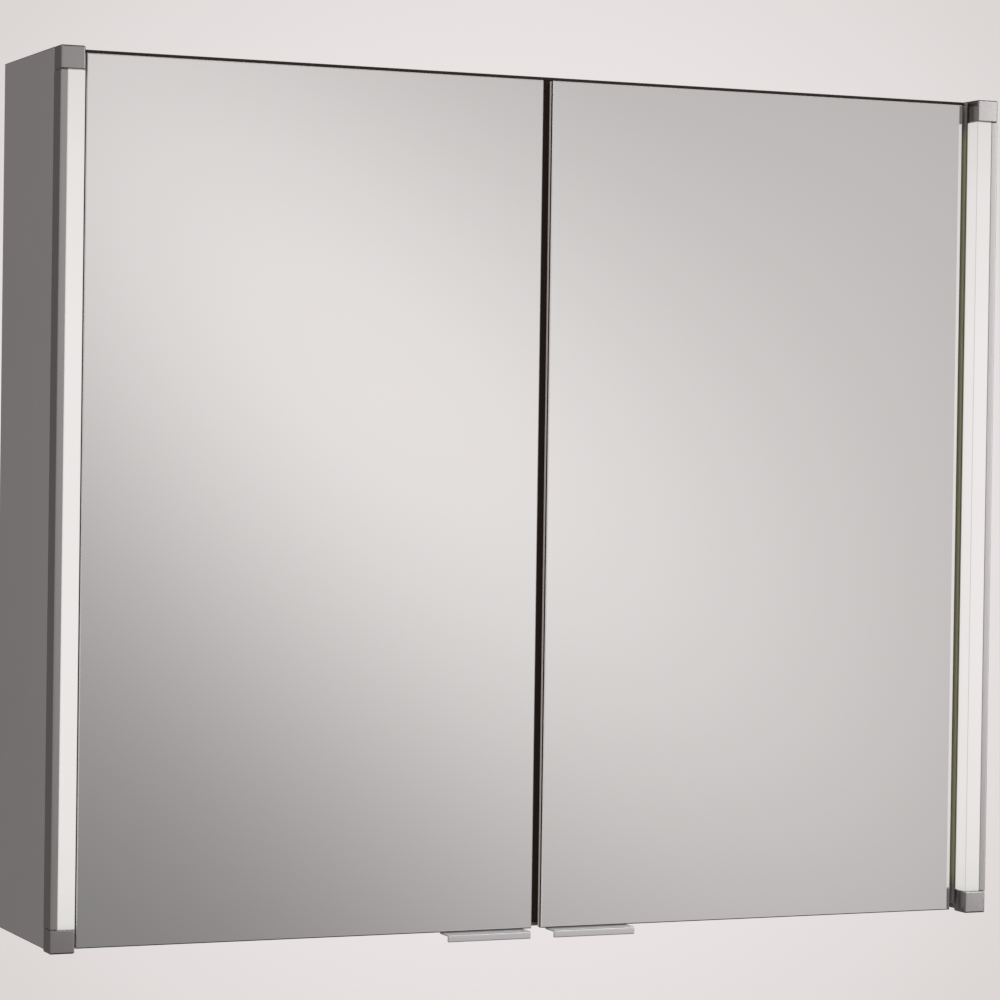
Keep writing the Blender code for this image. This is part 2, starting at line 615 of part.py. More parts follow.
def make_cable_grommet(finishes):
    centre = (OUTER_X - LAMP_WIDTH / 2, GROMMET_HEIGHT)
    collar_rear = -CHANNEL_WALL - GAP
    collar_front = collar_rear - GROMMET_COLLAR_THICKNESS
    grommet = add_object("cable_grommet",
                         rod(centre, GROMMET_NECK_RADIUS, collar_front + GAP, 0.0, "Y",
                             SMALL_ROUND_STEPS), finishes["black_rubber"])
    use_tool(grommet, rod(centre, GROMMET_COLLAR_RADIUS, collar_front, collar_rear, "Y",
                          SMALL_ROUND_STEPS), "UNION")
    use_tool(grommet, rod(centre, GROMMET_BORE_RADIUS, collar_front - TOOL_OVERSHOOT,
                          TOOL_OVERSHOOT, "Y", SMALL_ROUND_STEPS))
    shade_round(grommet)


def make_finishes():
    return {
        "aluminium": make_material("aluminium", (0.40, 0.39, 0.385), 0.42, 1.0),
        "sheet": make_material("sheet", (0.55, 0.55, 0.54), 0.5, 1.0),
        "mirror": make_material("mirror", (0.86, 0.86, 0.85), 0.03, 1.0),
        "clear_glass": make_material("clear_glass", (0.78, 0.86, 0.83), 0.05),
        "opal": make_material("opal", (0.88, 0.88, 0.86), 0.35),
        "circuit_board": make_material("circuit_board", (0.80, 0.80, 0.78), 0.5),
        "nickel": make_material("nickel", (0.62, 0.61, 0.59), 0.28, 1.0),
        "steel": make_material("steel", (0.52, 0.52, 0.53), 0.35, 1.0),
        "white_plastic": make_material("white_plastic", (0.82, 0.82, 0.80), 0.4),
        "black_rubber": make_material("black_rubber", (0.015, 0.014, 0.013), 0.7),
    }


def main():
    clear_scene()
    finishes = make_finishes()
    make_top_and_bottom(finishes)
    make_back_panel(finishes)
    make_partition(finishes)
    make_seals(finishes)
    for side in (LEFT, RIGHT):
        make_side_wall(side, finishes)
        make_lamp(side, finishes)
        make_back_mirror(side, finishes)
        make_hanger_bracket(side, finishes)
        make_shelves(side, finishes)
        make_door(side, finishes)
    make_service_box(finishes)
    make_socket_insert(finishes)
    make_rocker(finishes)
    make_led_driver(finishes)
    make_cable_grommet(finishes)


main()
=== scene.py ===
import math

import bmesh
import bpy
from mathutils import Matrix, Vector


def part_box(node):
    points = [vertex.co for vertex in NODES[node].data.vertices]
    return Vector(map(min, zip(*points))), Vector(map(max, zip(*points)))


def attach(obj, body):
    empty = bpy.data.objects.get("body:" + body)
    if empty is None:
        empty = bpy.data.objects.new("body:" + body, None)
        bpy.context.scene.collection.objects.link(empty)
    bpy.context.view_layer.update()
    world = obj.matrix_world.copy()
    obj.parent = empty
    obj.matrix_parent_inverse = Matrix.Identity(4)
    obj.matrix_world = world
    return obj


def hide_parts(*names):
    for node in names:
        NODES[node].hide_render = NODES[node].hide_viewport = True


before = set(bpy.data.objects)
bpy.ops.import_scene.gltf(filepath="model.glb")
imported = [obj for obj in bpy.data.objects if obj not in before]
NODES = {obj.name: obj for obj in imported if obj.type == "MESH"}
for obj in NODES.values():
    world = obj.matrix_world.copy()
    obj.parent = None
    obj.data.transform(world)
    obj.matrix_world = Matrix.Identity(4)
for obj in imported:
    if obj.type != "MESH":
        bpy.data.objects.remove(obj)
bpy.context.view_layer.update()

# %% [markdown]
# A mirror cabinet for a bathroom wall: two mirror doors between two slim upright lamps, glass
# shelves behind them, and a small box with a socket and a light switch in one corner.
# The frame that was just loaded holds the cabinet's exact solids. Every piece below takes its
# place from a solid's box, so nothing is placed by eye. The wall is the plane Y = 0, the doors
# face -Y and Z points up.

MM = 0.001
SIDES = {"left": -1, "right": 1}

# %% [markdown]
# Blender's operators act on whatever is selected, and loading the frame leaves everything
# selected. These helpers clear the selection, open one piece in edit mode and pick its faces or
# edges by where they are or which way they face, which is how a script points at things.

# %% Helpers for selecting
def select_nothing():
    if bpy.context.mode != "OBJECT":
        bpy.ops.object.mode_set(mode="OBJECT")
    bpy.ops.object.select_all(action="DESELECT")


def make_active(piece):
    select_nothing()
    piece.select_set(True)
    bpy.context.view_layer.objects.active = piece


def pick(piece, kind, test):
    """Opens a piece in edit mode with only the faces or edges that pass the test selected."""
    make_active(piece)
    bpy.ops.object.mode_set(mode="EDIT")
    bpy.ops.mesh.select_mode(type=kind)
    bpy.ops.mesh.select_all(action="DESELECT")
    shape = bmesh.from_edit_mesh(piece.data)
    chosen = [part for part in (shape.faces if kind == "FACE" else shape.edges) if test(part)]
    for part in chosen:
        part.select_set(True)
    bmesh.update_edit_mesh(piece.data)
    return len(chosen)


def close_edit():
    bpy.ops.object.mode_set(mode="OBJECT")


def faces_towards(direction, level=None, near=0.02 * MM):
    """A test for flat faces that look one way and, if a level is given, lie at that height."""
    direction = Vector(direction)

    def test(face):
        if face.normal.dot(direction) < 0.99:
            return False
        return level is None or abs(face.calc_center_median().dot(direction) - level) < near
    return test

# %% [markdown]
# The camera stands to the left of the cabinet at about mid height and looks a little to the
# right, with a long lens. A long lens keeps the cabinet's upright lines nearly parallel. It is
# described by three angles, and the rotation is built from the directions that they give.

# %% Camera
CAMERA_PLACE = Vector((-1.1254, -2.6651, 0.0444))
CAMERA_TURN = math.radians(23.33)
CAMERA_PITCH = math.radians(-0.87)
CAMERA_ROLL = math.radians(0.83)
CAMERA_LENS = 125.9

forward = Vector((math.sin(CAMERA_TURN) * math.cos(CAMERA_PITCH),
                  math.cos(CAMERA_TURN) * math.cos(CAMERA_PITCH), math.sin(CAMERA_PITCH)))
level_right = Vector((math.cos(CAMERA_TURN), -math.sin(CAMERA_TURN), 0.0))
level_up = level_right.cross(forward)
camera_right = level_right * math.cos(CAMERA_ROLL) + level_up * math.sin(CAMERA_ROLL)
camera_up = level_up * math.cos(CAMERA_ROLL) - level_right * math.sin(CAMERA_ROLL)

lens = bpy.data.cameras.new("camera")
lens.sensor_width = 36.0
lens.lens = CAMERA_LENS
lens.clip_start = 0.05
lens.clip_end = 60.0
camera = bpy.data.objects.new("camera", lens)
bpy.context.scene.collection.objects.link(camera)
rotation = Matrix((camera_right, camera_up, -forward)).transposed()
camera.matrix_world = Matrix.Translation(CAMERA_PLACE) @ rotation.to_4x4()
bpy.context.scene.camera = camera
print("camera stands", round(CAMERA_PLACE.length, 3), "m from the middle of the back")

# %% [markdown]
# Shaders do their sums with nodes. Two small helpers keep that readable: one adds a Math node
# and takes plain numbers or other nodes' outputs, and one makes a smooth step between two
# values with a Map Range node. Sky, light and finishes all use them.

# %% Helpers for shader sums
def calculate(nodes, links, operation, *values):
    """A Math node whose inputs are numbers or other nodes' outputs; returns its output."""
    node = nodes.new("ShaderNodeMath")
    node.operation = operation
    for socket, value in zip(node.inputs, values):
        if isinstance(value, (int, float)):
            socket.default_value = value
        else:
            links.new(value, socket)
    return node.outputs[0]


def fade(nodes, links, value, start, end, first, last):
    """A smooth step from one value to another as the input goes from start to end."""
    node = nodes.new("ShaderNodeMapRange")
    node.interpolation_type = "SMOOTHSTEP"
    links.new(value, node.inputs["Value"])
    for name, number in (("From Min", start), ("From Max", end),
                         ("To Min", first), ("To Max", last)):
        node.inputs[name].default_value = number
    return node.outputs["Result"]

# %% [markdown]
# A mirror shows the room, so the room matters as much as the glass. The doors should show one
# large soft glow that fades away diagonally, as a lamp bounced off a studio wall gives. The sky
# shader makes it from the ray's direction: a grey room, darker behind, above and below, and five
# soft oval glows in front. Each glow is a bell curve, e to the power of minus the squared
# distance from its middle. The first two make the shading on the doors, and the others, higher
# or lower, reach only the rounded edges and the inside. One of them takes light away.

# %% Room
scene = bpy.context.scene
scene.view_settings.view_transform = "Standard"
BACKDROP = (0.823, 0.783, 0.776)
BACKDROP_EDGE = (0.700, 0.660, 0.652)
ROOM_FRONT = 0.24
ROOM_BEHIND = 0.12
ROOM_TINT = (1.0, 0.962, 0.955)
ROOM_STRENGTH = 1.12
# strength, middle (x, z) of the direction, turn, half widths
GLOWS = (
    (0.4803, (0.3435, 0.0256), 0.7256, (0.0899, 0.2142)),
    (0.2441, (0.5063, 0.0527), 1.9962, (0.1935, 0.1237)),
    (2.20, (0.44, 0.60), 0.0, (0.10, 0.14)),
    (-0.08, (0.27, -0.30), 0.0, (0.10, 0.18)),
    (1.00, (-0.45, 0.60), 0.0, (0.40, 0.28)),
)

world = bpy.data.worlds.new("room")
scene.world = world
world.use_nodes = True
nodes, links = world.node_tree.nodes, world.node_tree.links
nodes.clear()

direction = nodes.new("ShaderNodeTexCoord").outputs["Generated"]
split = nodes.new("ShaderNodeSeparateXYZ")
links.new(direction, split.inputs[0])
in_front = fade(nodes, links, split.outputs["Y"], -0.35, 0.25, 1.0, 0.0)
height = calculate(nodes, links, "ABSOLUTE", split.outputs["Z"])
belt = fade(nodes, links, height, 0.30, 0.75, 1.0, 0.08)
base = fade(nodes, links, split.outputs["Y"], -0.35, 0.35, ROOM_FRONT, ROOM_BEHIND)
light = calculate(nodes, links, "MULTIPLY", base, belt)
for strength, middle, turn, widths in GLOWS:
    mapping = nodes.new("ShaderNodeMapping")
    mapping.vector_type = "TEXTURE"
    links.new(direction, mapping.inputs["Vector"])
    mapping.inputs["Location"].default_value = (middle[0], 0.0, middle[1])
    mapping.inputs["Rotation"].default_value = (0.0, -turn, 0.0)
    mapping.inputs["Scale"].default_value = (widths[0], 1000.0, widths[1])
    square = nodes.new("ShaderNodeVectorMath")
    square.operation = "DOT_PRODUCT"
    links.new(mapping.outputs[0], square.inputs[0])
    links.new(mapping.outputs[0], square.inputs[1])
    falling = calculate(nodes, links, "MULTIPLY", square.outputs["Value"], -1.0)
    bell = calculate(nodes, links, "EXPONENT", falling)
    glow = calculate(nodes, links, "MULTIPLY", bell, strength)
    seen = calculate(nodes, links, "MULTIPLY", glow, in_front)
    light = calculate(nodes, links, "ADD", light, seen)
# straight up and straight down the room is black, which draws dark lines along rounded edges
light = calculate(nodes, links, "MULTIPLY", light,
                  fade(nodes, links, height, 0.76, 0.88, 1.0, 0.04))
tint = nodes.new("ShaderNodeVectorMath")
tint.operation = "SCALE"
tint.inputs[0].default_value = ROOM_TINT
links.new(light, tint.inputs["Scale"])
room = nodes.new("ShaderNodeBackground")
room.inputs["Strength"].default_value = ROOM_STRENGTH
links.new(tint.outputs[0], room.inputs["Color"])
print("room with", len(GLOWS), "glows")

# %% [markdown]
# Behind the cabinet lies a plain pale backdrop that darkens a little towards the corners, a
# painted pool of light that is brightest in the middle of the view. Only rays straight from the
# camera see it: a Light Path node swaps it for the room on every other ray, so the backdrop's
# paleness doesn't wash out the mirrors.

# %% Backdrop
FULL_WITHIN, GONE_BEYOND = math.radians(5.0), math.radians(12.5)
aim = nodes.new("ShaderNodeVectorMath")
aim.operation = "DOT_PRODUCT"
links.new(direction, aim.inputs[0])
aim.inputs[1].default_value = forward
# painted light: the backdrop is brightest around the middle of the view
near_middle = fade(nodes, links, aim.outputs["Value"], math.cos(GONE_BEYOND),
                   math.cos(FULL_WITHIN), 0.0, 1.0)
blend = nodes.new("ShaderNodeMix")
blend.data_type = "RGBA"
links.new(near_middle, blend.inputs["Factor"])
blend.inputs["A"].default_value = (*BACKDROP_EDGE, 1.0)
blend.inputs["B"].default_value = (*BACKDROP, 1.0)
backdrop = nodes.new("ShaderNodeBackground")
links.new(blend.outputs["Result"], backdrop.inputs["Color"])
ray = nodes.new("ShaderNodeLightPath")
choose = nodes.new("ShaderNodeMixShader")
links.new(ray.outputs["Is Camera Ray"], choose.inputs["Fac"])
links.new(room.outputs[0], choose.inputs[1])
links.new(backdrop.outputs[0], choose.inputs[2])
links.new(choose.outputs[0], nodes.new("ShaderNodeOutputWorld").inputs["Surface"])
print("room of", len(nodes), "shader nodes")

# %% [markdown]
# Large area lights stand in for softboxes. The key, to the right of the camera, makes the fronts
# of the metal strips bright, the fill on the left reaches the side wall, the top one looks into
# the open cabinet, and the rear one lights the back for anyone who walks round. Only the key
# shows in reflections. Its cloth is bright on one side and dim on the other, as when the lamp
# in a softbox sits off centre, so it looks like a softbox in the mirrors.

# %% Lights
# place, width and height in metres, watts
SOFTBOXES = {
    "key": ((2.7, -2.3, 0.75), 1.7, 3.0, 25.0),
    "fill": ((-2.9, -1.3, 0.2), 1.8, 1.8, 38.0),
    "top": ((0.2, -1.4, 2.4), 2.0, 1.4, 10.0),
    "rear": ((1.3, 2.6, 1.2), 2.2, 2.2, 90.0),
}
KEY_BRIGHT, KEY_DIM = 1.15, 0.30
for name, (place, width, tall, watts) in SOFTBOXES.items():
    lamp = bpy.data.lights.new(name, "AREA")
    lamp.shape = "RECTANGLE"
    lamp.size = width
    lamp.size_y = tall
    lamp.energy = watts
    softbox = bpy.data.objects.new(name, lamp)
    scene.collection.objects.link(softbox)
    softbox.location = place
    softbox.rotation_mode = "QUATERNION"
    softbox.rotation_quaternion = (-Vector(place)).to_track_quat("-Z", "Y")
    softbox.visible_camera = False
    softbox.visible_glossy = name == "key"
cloth = bpy.data.lights["key"]
cloth.use_nodes = True
nodes, links = cloth.node_tree.nodes, cloth.node_tree.links
across = nodes.new("ShaderNodeSeparateXYZ")
links.new(nodes.new("ShaderNodeNewGeometry").outputs["Parametric"], across.inputs[0])
links.new(fade(nodes, links, across.outputs["X"], 0.05, 0.95, KEY_BRIGHT, KEY_DIM),
          nodes["Emission"].inputs["Strength"])
print("lights", list(SOFTBOXES))

# %% [markdown]
# The floor is a plain disc. It lies well below, because the cabinet hangs on a wall. It neither
# reflects in the metal nor throws its own light on the cabinet, so the disc can be pale without
# changing the finishes above it. Its paint comes with the other plastics further down.

# %% Floor
FLOOR_RADIUS = 4.2
FLOOR_HEIGHT = -1.30
select_nothing()
bpy.ops.mesh.primitive_circle_add(vertices=96, radius=FLOOR_RADIUS, fill_type="NGON",
                                  location=(0.0, -0.1, FLOOR_HEIGHT))
floor = bpy.context.object
floor.name = "floor"
bpy.ops.object.transform_apply(location=True, rotation=True, scale=True)
floor.visible_glossy = False
floor.visible_diffuse = False
print("floor", FLOOR_HEIGHT, "m from the middle of the cabinet")

# %% [markdown]
# Every finish is a small shader tree on the Principled shader. Patterns read Object coordinates,
# which here are metres from the middle of the back, so a grain of 0.2 mm is a scale of 5000.
# Stretching the coordinates along one axis turns even noise into fine lines: a brushed or drawn
# metal has its lines along the direction in which it was worked.

# %% Helpers for finishes
def start_finish(name):
    material = bpy.data.materials.new(name)
    material.use_nodes = True
    tree = material.node_tree
    return material, tree.nodes, tree.links, tree.nodes["Principled BSDF"]


def grain(nodes, links, scale, detail=2.0, roughness=0.5):
    """Noise on Object coordinates; scale has one number for each axis."""
    place = nodes.new("ShaderNodeTexCoord").outputs["Object"]
    mapping = nodes.new("ShaderNodeMapping")
    links.new(place, mapping.inputs["Vector"])
    mapping.inputs["Scale"].default_value = scale
    noise = nodes.new("ShaderNodeTexNoise")
    noise.inputs["Scale"].default_value = 1.0
    noise.inputs["Detail"].default_value = detail
    noise.inputs["Roughness"].default_value = roughness
    links.new(mapping.outputs[0], noise.inputs["Vector"])
    return noise.outputs["Fac"]


def ramp(nodes, links, value, stops):
    """A Color Ramp; stops are (place, (red, green, blue))."""
    node = nodes.new("ShaderNodeValToRGB")
    while len(node.color_ramp.elements) < len(stops):
        node.color_ramp.elements.new(0.5)
    for element, (place, colour) in zip(node.color_ramp.elements, stops):
        element.position = place
        element.color = (*colour, 1.0)
    links.new(value, node.inputs["Fac"])
    return node.outputs["Color"]


def glow_evenly(material, colour, strength):
    """Gives a finish a little light of its own, the same all over."""
    shader = material.node_tree.nodes["Principled BSDF"]
    shader.inputs["Emission Color"].default_value = (*colour, 1.0)
    shader.inputs["Emission Strength"].default_value = strength


def roughen(nodes, links, shader, value, strength, distance):
    bump = nodes.new("ShaderNodeBump")
    bump.inputs["Strength"].default_value = strength
    bump.inputs["Distance"].default_value = distance
    links.new(value, bump.inputs["Height"])
    links.new(bump.outputs[0], shader.inputs["Normal"])


def satin_metal(name, colour, spread, roughness, lines, depth, metallic=1.0):
    """Anodised or brushed metal: fine lines in the colour, the gloss and the surface."""
    material, nodes, links, shader = start_finish(name)
    shader.inputs["Metallic"].default_value = metallic
    fine = grain(nodes, links, lines)
    cloud = grain(nodes, links, (9.0, 9.0, 9.0), 3.0)
    mixed = calculate(nodes, links, "MULTIPLY_ADD", fine, 0.7,
                      calculate(nodes, links, "MULTIPLY", cloud, 0.3))
    dark = tuple(c * (1.0 - spread) for c in colour)
    pale = tuple(min(1.0, c * (1.0 + spread)) for c in colour)
    links.new(ramp(nodes, links, mixed, ((0.25, dark), (0.75, pale))), shader.inputs["Base Color"])
    links.new(fade(nodes, links, mixed, 0.2, 0.8, roughness * 0.86, roughness * 1.14),
              shader.inputs["Roughness"])
    roughen(nodes, links, shader, fine, depth, 0.02 * MM)
    return material

# %% [markdown]
# The metal of this cabinet is aluminium. The side walls are a dark satin sheet, the lamp
# profiles are drawn through a die, so their lines run up and down, the end caps are cast and
# have an even grain, and the handles are folded from strip with lines along their length. The
# handles hang free in the light from below, and that light is painted into their finish as a
# small even glow.
# Rounded edges that face up or down get a near-black finish: painted shade for the dark lines
# along them.

# %% Metals
SIDE_SHEET = satin_metal("side_sheet", (0.44, 0.415, 0.41), 0.05, 0.50,
                         (1500.0, 2600.0, 160.0), 0.18, 0.4)
DRAWN_METAL = satin_metal("drawn_metal", (0.55, 0.535, 0.53), 0.05, 0.29,
                          (3200.0, 3200.0, 22.0), 0.12)
CAST_METAL = satin_metal("cast_metal", (0.52, 0.505, 0.50), 0.05, 0.25,
                         (2600.0, 2600.0, 2600.0), 0.20)
HANDLE_METAL = satin_metal("handle_metal", (0.88, 0.865, 0.88), 0.05, 0.32,
                           (40.0, 3600.0, 3600.0), 0.25)
# painted light: a small even glow that brightens the handles
glow_evenly(HANDLE_METAL, (1.0, 0.97, 0.985), 0.08)
# painted shade: a near-black finish for rounded edges that face up or down
PAINTED_EDGE_SHADE = satin_metal("painted_edge_shade", (0.060, 0.055, 0.054), 0.05, 0.42,
                        (1500.0, 1500.0, 1500.0), 0.15, 0.6)
INNER_METAL = satin_metal("inner_metal", (0.74, 0.74, 0.735), 0.04, 0.38,
                          (300.0, 2400.0, 2400.0), 0.18, 0.45)
RAIL_METAL = satin_metal("rail_metal", (0.66, 0.66, 0.66), 0.05, 0.26,
                         (3000.0, 40.0, 3000.0), 0.22)
BRIGHT_STEEL = satin_metal("bright_steel", (0.62, 0.61, 0.59), 0.06, 0.20,
                           (1200.0, 1200.0, 1200.0), 0.12)
ZINC_STEEL = satin_metal("zinc_steel", (0.56, 0.57, 0.58), 0.10, 0.34,
                         (420.0, 420.0, 420.0), 0.30, 0.85)
print("metals", [m.name for m in bpy.data.materials if m.use_nodes])

# %% [markdown]
# Some of a lamp's light leaks out behind its plastic and shines on the side wall there. That
# light has crossed the rim of the plastic, so it is yellow-green. A lamp this weak would light
# the wall only with many noisy samples, so that light is painted into the finish as a glow: a
# colour ramp that starts behind the lamp, fades out 11 mm further in, and ends at the lamp's two
# ends.

# %% Metal beside the lamps
lamp_low, lamp_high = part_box("diffuser_left")
GLOW_DEPTH = 11.0 * MM
GLOW_ENDS = 18.0 * MM
LEAK_GREEN = (0.050, 0.052, 0.006)
LEAK_DEEP = (0.060, 0.064, 0.022)


def side_glow(name, colour, roughness, lines, near_colour, deep_colour):
    """Metal beside a lamp, with the light that leaks behind the plastic painted on as a glow."""
    material = satin_metal(name, colour, 0.05, roughness, lines, 0.18, 0.45)
    nodes, links = material.node_tree.nodes, material.node_tree.links
    shader = nodes["Principled BSDF"]
    axes = nodes.new("ShaderNodeSeparateXYZ")
    links.new(nodes.new("ShaderNodeTexCoord").outputs["Object"], axes.inputs[0])
    across = fade(nodes, links, axes.outputs["Y"], lamp_high.y, lamp_high.y + GLOW_DEPTH,
                  0.0, 1.0)
    shine = ramp(nodes, links, across, (
        (0.00, near_colour), (0.12, near_colour), (0.50, deep_colour), (0.66, deep_colour),
        (1.00, (0.0, 0.0, 0.0)),
    ))
    links.new(shine, shader.inputs["Emission Color"])
    up = calculate(nodes, links, "ABSOLUTE", axes.outputs["Z"])
    links.new(fade(nodes, links, up, lamp_high.z - GLOW_ENDS, lamp_high.z, 1.0, 0.0),
              shader.inputs["Emission Strength"])
    return material


# painted light: the lamps' leaking light as a yellow-green glow on the liners and skins
LIT_LINER = side_glow("lit_liner", (0.74, 0.74, 0.735), 0.38, (300.0, 2400.0, 2400.0),
                      LEAK_GREEN, LEAK_DEEP)
LIT_EDGE = side_glow("lit_edge", (0.44, 0.415, 0.41), 0.50, (1500.0, 2600.0, 160.0),
                     LEAK_GREEN, LEAK_GREEN)
print("glow from", round(lamp_high.y / MM, 1), "mm inwards")

# %% [markdown]
# The back is mill-finish zinc-coated sheet. Its frosty flakes come from a Voronoi texture: each
# cell is one crystal, and each takes its own brightness and gloss.

# %% Back sheet
FLAKES_PER_METRE = 150.0
BACK_SHEET, nodes, links, shader = start_finish("back_sheet")
shader.inputs["Metallic"].default_value = 0.5
place = nodes.new("ShaderNodeTexCoord").outputs["Object"]
flakes = nodes.new("ShaderNodeTexVoronoi")
flakes.inputs["Scale"].default_value = FLAKES_PER_METRE
links.new(place, flakes.inputs["Vector"])
flake = nodes.new("ShaderNodeSeparateColor")
links.new(flakes.outputs["Color"], flake.inputs[0])
links.new(ramp(nodes, links, flake.outputs[0], (
    (0.0, (0.56, 0.57, 0.58)), (1.0, (0.66, 0.67, 0.67)),
)), shader.inputs["Base Color"])
links.new(fade(nodes, links, flake.outputs[1], 0.0, 1.0, 0.40, 0.48), shader.inputs["Roughness"])
roughen(nodes, links, shader, grain(nodes, links, (700.0, 700.0, 700.0)), 0.12, 0.02 * MM)
print("flakes about", round(1000.0 / FLAKES_PER_METRE, 1), "mm across")

# %% [markdown]
# A mirror is glass with silver behind it. Seen from in front it acts as one almost perfect
# metal, so the face is a metal with hardly any roughness. Its edges are the glass itself: they
# look nearly black, because little light finds its way out there, and they are ground, not
# polished. The narrow slope between face and edge is ground too, and catches the light. The
# rear mirror's edge is paler and carries a painted glow, which stands in for the lamps' light
# that runs inside that glass.

# %% Mirror finishes
def ground_glass(name, colour, roughness):
    material, nodes, links, shader = start_finish(name)
    fine = grain(nodes, links, (2400.0, 2400.0, 2400.0), 3.0)
    dark = tuple(c * 0.86 for c in colour)
    links.new(ramp(nodes, links, fine, ((0.3, dark), (0.7, colour))), shader.inputs["Base Color"])
    shader.inputs["Roughness"].default_value = roughness
    roughen(nodes, links, shader, fine, 0.25, 0.02 * MM)
    return material


SILVER, nodes, links, shader = start_finish("silver")
shader.inputs["Metallic"].default_value = 1.0
shader.inputs["Base Color"].default_value = (0.90, 0.895, 0.89, 1.0)
haze = grain(nodes, links, (14.0, 14.0, 14.0), 4.0)
links.new(fade(nodes, links, haze, 0.35, 0.75, 0.012, 0.035), shader.inputs["Roughness"])
GLASS_EDGE = ground_glass("glass_edge", (0.042, 0.044, 0.040), 0.35)
GLASS_SLOPE = ground_glass("glass_slope", (0.88, 0.88, 0.87), 0.40)
REAR_EDGE_WITH_PAINTED_GLOW = ground_glass("rear_edge_painted_glow", (0.80, 0.70, 0.67), 0.40)
# painted light: an even glow for the lamps' light inside the rear glass
glow_evenly(REAR_EDGE_WITH_PAINTED_GLOW, (1.0, 0.87, 0.85), 0.14)
MIRROR_PAINT = ground_glass("mirror_paint", (0.20, 0.20, 0.21), 0.55)
print("mirror finishes", [m.name for m in (SILVER, GLASS_EDGE, GLASS_SLOPE, REAR_EDGE_WITH_PAINTED_GLOW)])

# %% [markdown]
# The lamps glow through opal plastic. The light inside stops short of the ends, so the plastic
# goes dimmer there and a little green at the lower one, and it is greenest in the last
# millimetre before its rear edge, where light only leaks out sideways. Both changes follow the
# place on the piece.

# %% Opal plastic
# share of the height from below, colour of the light
OPAL_ENDS = (
    (0.000, (0.76, 0.78, 0.74)),
    (0.008, (0.87, 0.86, 0.83)),
    (0.045, (0.93, 0.90, 0.88)),
    (0.120, (0.97, 0.937, 0.925)),
    (0.300, (1.00, 0.962, 0.953)),
    (0.700, (1.00, 0.962, 0.953)),
    (0.900, (0.94, 0.905, 0.895)),
    (1.000, (0.85, 0.815, 0.80)),
)
LEAK_START, LEAK_FULL = 1.4 * MM, 0.3 * MM


def opal_plastic(name, brightness):
    """Plastic that glows; the brightness is its strength in the middle of the lamp."""
    material, nodes, links, shader = start_finish(name)
    shader.inputs["Base Color"].default_value = (0.22, 0.215, 0.21, 1.0)
    shader.inputs["Roughness"].default_value = 0.45
    shader.inputs["Emission Strength"].default_value = brightness
    place = nodes.new("ShaderNodeTexCoord").outputs["Object"]
    axes = nodes.new("ShaderNodeSeparateXYZ")
    links.new(place, axes.inputs[0])
    along = nodes.new("ShaderNodeMapRange")
    links.new(axes.outputs["Z"], along.inputs["Value"])
    along.inputs["From Min"].default_value = lamp_low.z
    along.inputs["From Max"].default_value = lamp_high.z
    ends = ramp(nodes, links, along.outputs["Result"], OPAL_ENDS)
    rearward = fade(nodes, links, axes.outputs["Y"], lamp_high.y - LEAK_START,
                    lamp_high.y - LEAK_FULL, 0.0, 1.0)
    leak = nodes.new("ShaderNodeMix")
    leak.data_type = "RGBA"
    links.new(rearward, leak.inputs["Factor"])
    links.new(ends, leak.inputs["A"])
    leak.inputs["B"].default_value = (0.50, 0.50, 0.30, 1.0)
    links.new(leak.outputs["Result"], shader.inputs["Emission Color"])
    roughen(nodes, links, shader, grain(nodes, links, (900.0, 900.0, 900.0)), 0.06, 0.02 * MM)
    return material


OPAL = opal_plastic("opal", 0.69)
OPAL_CORNER = opal_plastic("opal_corner", 0.48)
print("opal from", round(lamp_low.z, 4), "to", round(lamp_high.z, 4), "m")

# %% [markdown]
# The rest: shelf glass that light really passes through, black rubber for the dust seals, white
# moulded plastic for the electrics and a white circuit board with yellow chips for the lamps.

# %% Glass, rubber and plastics
SHELF_GLASS, nodes, links, shader = start_finish("shelf_glass")
shader.inputs["Base Color"].default_value = (0.90, 0.965, 0.945, 1.0)
shader.inputs["Transmission Weight"].default_value = 1.0
shader.inputs["IOR"].default_value = 1.51
smudge = grain(nodes, links, (30.0, 30.0, 30.0), 3.0)
links.new(fade(nodes, links, smudge, 0.4, 0.8, 0.0, 0.06), shader.inputs["Roughness"])


def moulded(name, dark, pale, roughness, scale, depth):
    """A plastic or rubber with a fine moulded grain."""
    material, nodes, links, shader = start_finish(name)
    fine = grain(nodes, links, (scale, scale, scale), 3.0)
    links.new(ramp(nodes, links, fine, ((0.3, dark), (0.7, pale))), shader.inputs["Base Color"])
    links.new(fade(nodes, links, fine, 0.2, 0.8, roughness * 0.85, roughness * 1.15),
              shader.inputs["Roughness"])
    roughen(nodes, links, shader, fine, depth, 0.05 * MM)
    return material


RUBBER = moulded("rubber", (0.016, 0.008, 0.003), (0.028, 0.015, 0.007), 0.65, 1100.0, 0.3)
WHITE_PLASTIC = moulded("white_plastic", (0.76, 0.76, 0.74), (0.83, 0.83, 0.81), 0.36,
                        1500.0, 0.12)
BOARD = moulded("board", (0.74, 0.75, 0.73), (0.82, 0.83, 0.81), 0.45, 900.0, 0.1)
CHIP = moulded("chip", (0.80, 0.62, 0.16), (0.88, 0.72, 0.22), 0.30, 1500.0, 0.05)
FLOOR_PAINT = moulded("floor_paint", (0.76, 0.73, 0.725), (0.79, 0.76, 0.755), 0.8, 6.0, 0.02)
glow_evenly(FLOOR_PAINT, (1.0, 0.955, 0.945), 0.42)
floor.data.materials.append(FLOOR_PAINT)
print("finishes in all", len([m for m in bpy.data.materials if m.use_nodes]))

